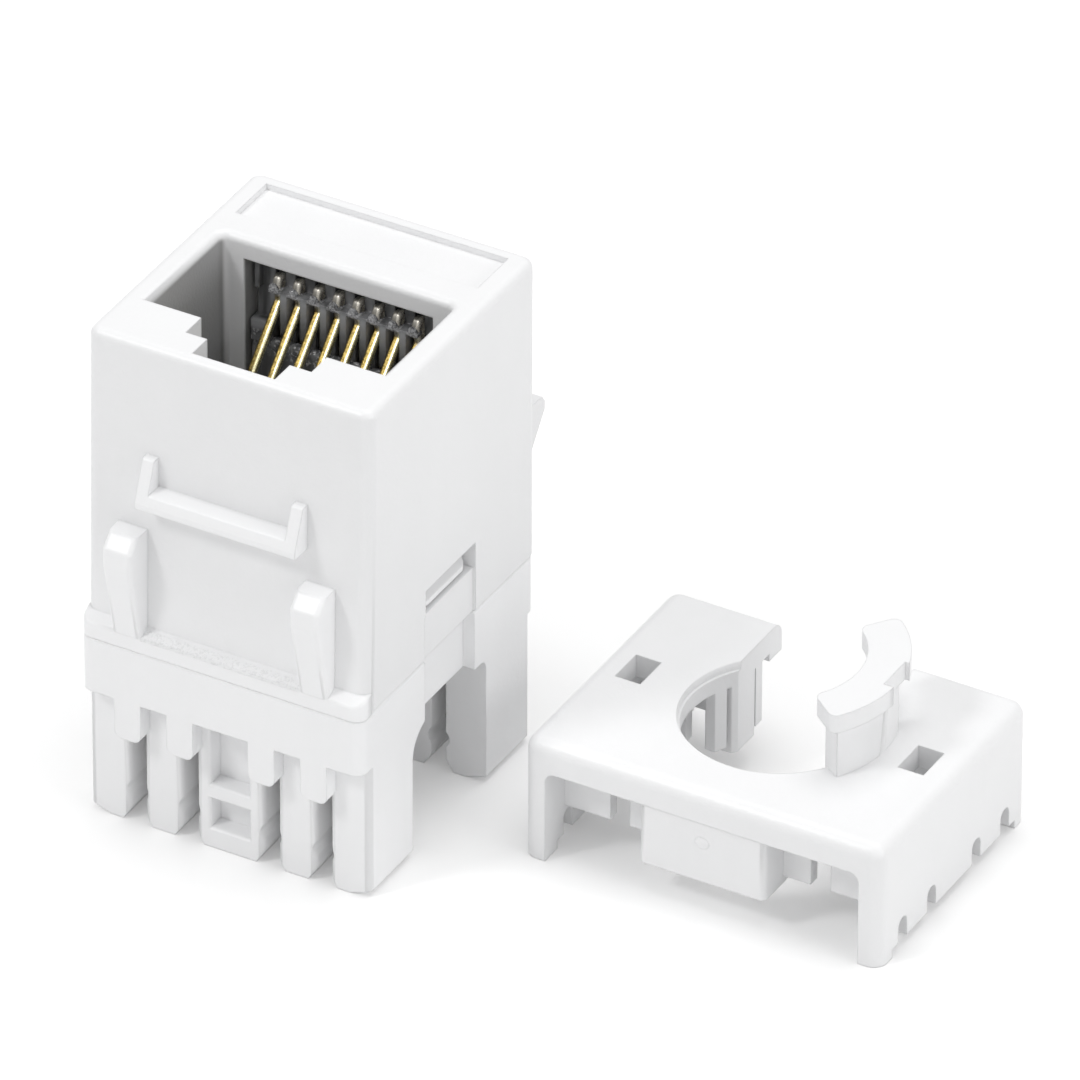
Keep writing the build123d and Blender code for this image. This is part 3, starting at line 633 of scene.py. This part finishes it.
class PlasticLook(bpy.types.PropertyGroup):
    """Finish of the white mouldings"""
    colour: FloatVectorProperty(name="Colour", description="Colour of the white plastic", subtype="COLOR",
                                size=3, default=(0.86, 0.862, 0.868), min=0.0, max=1.0)
    # Painted light: the rear block and the cap are lighter copies of the white plastic.
    block_lit_tone: FloatProperty(name="Rear block tone", description="Share of the colour that the rear block has",
                              default=1.07, min=0.0, max=1.16)
    cap_lit_tone: FloatProperty(name="Cap tone", description="Share of the colour that the wiring cap has",
                            default=1.02, min=0.0, max=1.16)
    # Painted highlight: a lighter share of the colour on the catch and the stops.
    proud_lit_tone: FloatProperty(name="Proud tone", description="Share of the colour on the catch and the stops",
                              default=1.07, min=0.0, max=1.16)
    gloss: FloatProperty(name="Roughness", description="Middle of the plastic's roughness", default=0.36,
                         min=0.05, max=1.0)
    grain_size: FloatProperty(name="Grain size", description="Size of the spark-eroded grain",
                              default=0.16 * MM, unit="LENGTH", precision=5)
    grain_depth: FloatProperty(name="Grain depth", description="Depth of the spark-eroded grain",
                               default=0.012 * MM, unit="LENGTH", precision=6)
    grit_size: FloatProperty(name="Ledge grit size", description="Size of the coarse grain on the ledge",
                             default=0.13 * MM, unit="LENGTH", precision=5)
    flow_size: FloatProperty(name="Flow mark size", description="Width of the faint flow marks",
                             default=2.2 * MM, unit="LENGTH", precision=4)
    port_depth: FloatProperty(name="Port shade depth", description="Depth at which the port's walls are darkest",
                              default=3.0 * MM, unit="LENGTH", precision=4)
    port_tone: FloatProperty(name="Port shade", description="Share of the colour left deep in the port",
                             default=0.34, min=0.0, max=1.0)
    edge_radius: FloatProperty(name="Edge radius", description="Radius of the soft edges of the mouldings",
                               default=0.1 * MM, unit="LENGTH", precision=5)


class MetalLook(bpy.types.PropertyGroup):
    """Plating of the contact springs and the terminals"""
    gold: FloatVectorProperty(name="Gold", description="Colour of the gold plating", subtype="COLOR", size=3,
                              default=(0.85, 0.62, 0.20), min=0.0, max=1.0)
    # Painted highlight: the pale gold on the wires' right flank.
    highlight_gold: FloatVectorProperty(name="Burnished gold", description="Colour of the wires' right edge",
                                   subtype="COLOR", size=3, default=(1.0, 0.93, 0.58), min=0.0, max=1.0)
    tin: FloatVectorProperty(name="Tin", description="Colour of the tinned bends", subtype="COLOR", size=3,
                             default=(1.0, 0.95, 0.84), min=0.0, max=1.0)
    blade: FloatVectorProperty(name="Blade", description="Colour of the terminals", subtype="COLOR", size=3,
                               default=(0.70, 0.69, 0.66), min=0.0, max=1.0)
    wire_rounding: FloatProperty(name="Wire rounding", description="Rounding of the contact wires' edges",
                                 default=0.11 * MM, unit="LENGTH", precision=5)
    tin_length: FloatProperty(name="Tinned length", description="Height of the tinned bend above the gold arm",
                              default=1.2 * MM, unit="LENGTH", precision=5)


class HiddenLook(bpy.types.PropertyGroup):
    """Colours of the contact carrier and the circuit board"""
    carrier: FloatVectorProperty(name="Carrier", description="Colour of the contact carrier", subtype="COLOR",
                                 size=3, default=(0.19, 0.192, 0.198), min=0.0, max=1.0)
    # Colour of the painted glints on the carrier's lumps and beads.
    painted_glint: FloatVectorProperty(name="Flecks", description="Colour of the bright flecks on the carrier's lumps",
                               subtype="COLOR", size=3, default=(0.8, 0.8, 0.82), min=0.0, max=1.0)
    board: FloatVectorProperty(name="Board", description="Colour of the circuit board", subtype="COLOR", size=3,
                               default=(0.02, 0.16, 0.06), min=0.0, max=1.0)


class StudioLook(bpy.types.PropertyGroup):
    """Camera, lamps, floor and surround"""
    azimuth: FloatProperty(name="Azimuth", description="Camera's turn round the object, in degrees",
                           default=29.38)
    elevation: FloatProperty(name="Elevation", description="Camera's height, in degrees", default=34.06)
    roll: FloatProperty(name="Roll", description="Camera's roll, in degrees", default=0.17)
    distance: FloatProperty(name="Distance", description="Camera's distance from its aim", default=0.7314,
                            unit="LENGTH")
    lens: FloatProperty(name="Lens", description="Focal length in millimetres", default=540.6)
    aim: FloatVectorProperty(name="Aim", description="Point at the middle of the picture", size=3,
                             default=(-5.22 * MM, 8.30 * MM, 8.56 * MM), subtype="TRANSLATION")
    key_power: FloatProperty(name="Key power", description="Power of the lamp at the front left, in watts",
                             default=0.34)
    top_power: FloatProperty(name="Top power", description="Power of the large lamp overhead, in watts",
                             default=0.50)
    side_power: FloatProperty(name="Side power", description="Power of the lamp at the right, in watts",
                              default=0.24)
    world: FloatProperty(name="Surround", description="Strength of the pale surround", default=0.57)
    floor_glow: FloatProperty(name="Floor glow", description="Light of the floor that only cameras and "
                              "reflections see", default=0.16)


class JACK_OT_finish_plastics(bpy.types.Operator):
    """Gives the white mouldings their grained plastic"""
    bl_idname = "jack.finish_plastics"
    bl_label = "White mouldings"

    def execute(self, context):
        look = context.scene.jack_plastic
        housing = moulded_plastic("housing_plastic", look, accents=housing_accents)
        # The rear block and the cap get lighter copies of the white plastic: painted light.
        block = moulded_plastic("block_plastic", look, tone=look.block_lit_tone)
        cap = moulded_plastic("cap_plastic", look, tone=look.cap_lit_tone)
        finishes = {"front_housing": (housing, "jack", None), "panel_latch": (housing, "latch", None),
                    "rear_block": (block, "jack", None), "wiring_cap": (cap, "jack", cap_gate_mark)}
        for node, (material, body, shape) in finishes.items():
            set_material(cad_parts[node], material)
            keep_flats(smooth_copy(node, f"{node}_moulding", body, material, shape))
        return {"FINISHED"}


class JACK_OT_finish_comb(bpy.types.Operator):
    """Gives the contact carrier its smoky plastic and the shape that the port shows"""
    bl_idname = "jack.finish_comb"
    bl_label = "Contact comb"

    def execute(self, context):
        smoky = smoky_plastic("carrier_plastic", context.scene.jack_hidden)
        set_material(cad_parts["contact_carrier"], smoky)
        keep_flats(smooth_copy("contact_carrier", "contact_comb", "jack", smoky, shape_comb))
        return {"FINISHED"}


class JACK_OT_finish_board(bpy.types.Operator):
    """Gives the circuit board its laminate"""
    bl_idname = "jack.finish_board"
    bl_label = "Circuit board"

    def execute(self, context):
        laminate = board_laminate("board_laminate", context.scene.jack_hidden.board)
        set_material(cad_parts["circuit_board"], laminate)
        return {"FINISHED"}


class JACK_OT_finish_springs(bpy.types.Operator):
    """Gives the contact springs their gold and tin, their knees and their round edges"""
    bl_idname = "jack.finish_springs"
    bl_label = "Contact springs"

    def execute(self, context):
        look = context.scene.jack_metal
        plating = contact_plating("contact_plating", look)
        for node in CONTACTS:
            set_material(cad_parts[node], plating)
            spring = smooth_copy(node, f"{node}_spring", "jack", plating, shape_spring)
            round_long_edges(spring, look.wire_rounding)
        return {"FINISHED"}


class JACK_OT_finish_terminals(bpy.types.Operator):
    """Gives the terminals their dull tin"""
    bl_idname = "jack.finish_terminals"
    bl_label = "Terminals"

    def execute(self, context):
        blade = tinned_blade("terminal_tin", context.scene.jack_metal.blade)
        for node in TERMINALS:
            set_material(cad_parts[node], blade)
        return {"FINISHED"}


def floor_white(look):
    """White floor that keeps soft shadows, with a glow that only the camera and reflections see."""
    s = Shader("floor_white")
    mottle_size, dark, pale = 40 * MM, 0.88, 0.90
    mottle = s.noise(mottle_size, detail=1.0)
    colour = s.mix(mottle, grey(dark), grey(pale))
    matt = s.node("ShaderNodeBsdfPrincipled", {}, Base_Color=colour, Roughness=0.5, Specular_IOR_Level=0.2)
    glow = s.node("ShaderNodeEmission", {}, Strength=look.floor_glow)
    glowing = s.node("ShaderNodeAddShader", {}, matt, glow)
    camera, glossy, clear = (s.node("ShaderNodeLightPath", {}, output=f"Is {kind} Ray")
                             for kind in ("Camera", "Glossy", "Transmission"))
    seen = (camera + glossy + clear).clamp()
    return s.close(s.node("ShaderNodeMixShader", {}, seen, matt, glowing))


def lay_floor(look):
    """A wide floor just below the pieces that stand on it."""
    bm = bmesh.new()
    bmesh.ops.create_grid(bm, x_segments=1, y_segments=1, size=FLOOR_HALF)
    bmesh.ops.translate(bm, verts=bm.verts, vec=(0.0, 0.0, -FLOOR_DROP))
    floor = mesh_object("floor", bm)
    set_material(floor, floor_white(look))


def area_lamp(name, place, size, power):
    """A round soft lamp that faces the jack."""
    lamp = bpy.data.lights.new(name, "AREA")
    lamp.shape = "DISK"
    lamp.size = size
    lamp.energy = power
    thing = bpy.data.objects.new(name, lamp)
    thing.location = place
    thing.rotation_euler = (Vector(LAMP_TARGET) - Vector(place)).to_track_quat("-Z", "Y").to_euler()
    bpy.context.collection.objects.link(thing)


def pale_surround(strength):
    """A plain white world."""
    world = bpy.data.worlds.new("surround")
    world.use_nodes = True
    background = world.node_tree.nodes["Background"]
    background.inputs["Color"].default_value = grey(1.0)
    background.inputs["Strength"].default_value = strength
    return world


def place_camera(scene, look):
    """A long lens on a turn and a height round its aim, rolled a little."""
    turn, rise, roll = (math.radians(v) for v in (look.azimuth, look.elevation, look.roll))
    back = Vector((math.sin(turn) * math.cos(rise), -math.cos(turn) * math.cos(rise), math.sin(rise)))
    side = Vector((math.cos(turn), math.sin(turn), 0.0))
    up = back.cross(side)
    right = math.cos(roll) * side + math.sin(roll) * up
    above = back.cross(right)
    camera = bpy.data.cameras.new("camera")
    camera.lens = look.lens
    camera.clip_end = CAMERA_REACH
    thing = bpy.data.objects.new("camera", camera)
    place = Matrix((right, above, back)).transposed().to_4x4()
    place.translation = Vector(look.aim) + look.distance * back
    thing.matrix_world = place
    bpy.context.collection.objects.link(thing)
    scene.camera = thing


class JACK_OT_set_studio(bpy.types.Operator):
    """Sets the floor, the soft lamps, the pale surround and the camera"""
    bl_idname = "jack.set_studio"
    bl_label = "Studio"

    def execute(self, context):
        scene = context.scene
        look = scene.jack_studio
        lay_floor(look)
        powers = {"key": look.key_power, "top": look.top_power, "side": look.side_power}
        for name, (place, size) in LAMPS.items():
            area_lamp(name, place, size, powers[name])
        scene.world = pale_surround(look.world)
        place_camera(scene, look)
        scene.view_settings.view_transform = "Standard"
        return {"FINISHED"}


class JACK_PT_panel(bpy.types.Panel):
    """Lists the sizes and colours, and the steps that dress the jack"""
    bl_idname = "JACK_PT_panel"
    bl_label = "Keystone jack"
    bl_space_type = "VIEW_3D"
    bl_region_type = "UI"
    bl_category = "Jack"

    def draw(self, context):
        for group in GROUPS:
            box = self.layout.box()
            settings = getattr(context.scene, group)
            for key in settings.__annotations__:
                box.prop(settings, key)
        for step in OPERATORS:
            self.layout.operator(step.bl_idname)


GROUPS = {
    "jack_plastic": PlasticLook,
    "jack_metal": MetalLook,
    "jack_hidden": HiddenLook,
    "jack_studio": StudioLook,
}
OPERATORS = (
    JACK_OT_finish_plastics,
    JACK_OT_finish_comb,
    JACK_OT_finish_board,
    JACK_OT_finish_springs,
    JACK_OT_finish_terminals,
    JACK_OT_set_studio,
)


def register():
    for cls in (*GROUPS.values(), *OPERATORS, JACK_PT_panel):
        bpy.utils.register_class(cls)
    for name, cls in GROUPS.items():
        setattr(bpy.types.Scene, name, PointerProperty(type=cls))


def unregister():
    for name in GROUPS:
        delattr(bpy.types.Scene, name)
    for cls in reversed((*GROUPS.values(), *OPERATORS, JACK_PT_panel)):
        bpy.utils.unregister_class(cls)


def main():
    """Registers the classes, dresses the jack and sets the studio."""
    register()
    bpy.ops.jack.finish_plastics()
    bpy.ops.jack.finish_comb()
    bpy.ops.jack.finish_board()
    bpy.ops.jack.finish_springs()
    bpy.ops.jack.finish_terminals()
    bpy.ops.jack.set_studio()


if __name__ == "__main__":
    main()
